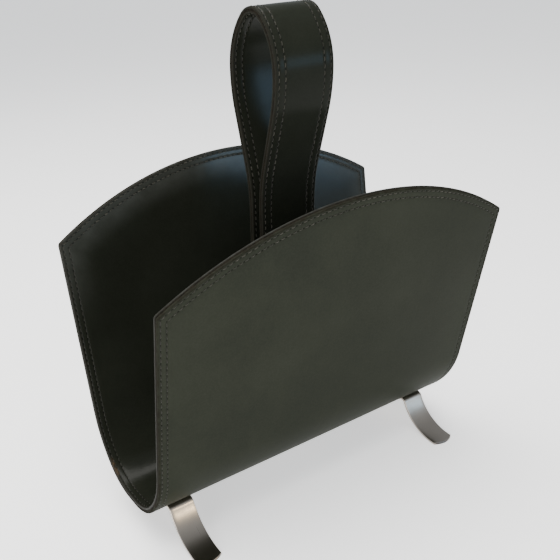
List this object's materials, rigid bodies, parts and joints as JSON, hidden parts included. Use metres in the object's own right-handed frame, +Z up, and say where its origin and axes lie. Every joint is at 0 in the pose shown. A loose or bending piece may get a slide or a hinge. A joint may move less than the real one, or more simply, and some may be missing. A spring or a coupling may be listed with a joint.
{
  "type": "magazine file holder",
  "caption": "Free-standing U-shaped stitched leather trough with arched tops for magazines and files, on sprung steel foot bars, with a stiff central loop handle.",
  "frame": {"origin": "on the floor, under the middle of the holder", "axes": "+X along the trough, +Y across it, +Z up"},
  "size_m": [0.36, 0.203, 0.4416],
  "materials": {
    "cover_leather": "smooth, waxed, semi-gloss, near black with an olive cast",
    "lining_leather": "smooth, waxed, semi-gloss, near black",
    "strap_leather": "smooth, waxed, semi-gloss, near black",
    "welt_leather": "burnished edge, dark brown",
    "waxed_thread": "waxed, dark",
    "core_steel": "primed sheet steel, covered",
    "spring_steel": "blued spring steel, covered",
    "block_aluminium": "milled, plain",
    "foot_steel": "satin, brushed along its length",
    "fastener_steel": "turned, plain"
  },
  "bodies": {
    "root": {"outer_cover": "cover_leather", "inner_lining": "lining_leather", "core_plate": "core_steel", "edge_welt": "welt_leather", "panel_seam_edge_row": "waxed_thread", "panel_seam_second_row": "waxed_thread", "handle_outer_strap": "strap_leather", "handle_inner_strap": "strap_leather", "handle_spring_band": "spring_steel", "handle_welts": "welt_leather", "handle_seam_edge_rows": "waxed_thread", "handle_seam_second_rows": "waxed_thread", "handle_anchor_block": "block_aluminium", "handle_posts": "fastener_steel", "handle_post_screws": "fastener_steel", "anchor_screws": "fastener_steel", "anchor_cup_washers": "fastener_steel", "left_foot_bar": "foot_steel", "right_foot_bar": "foot_steel", "foot_screws": "fastener_steel", "foot_inserts": "fastener_steel"}
  },
  "joints": []
}
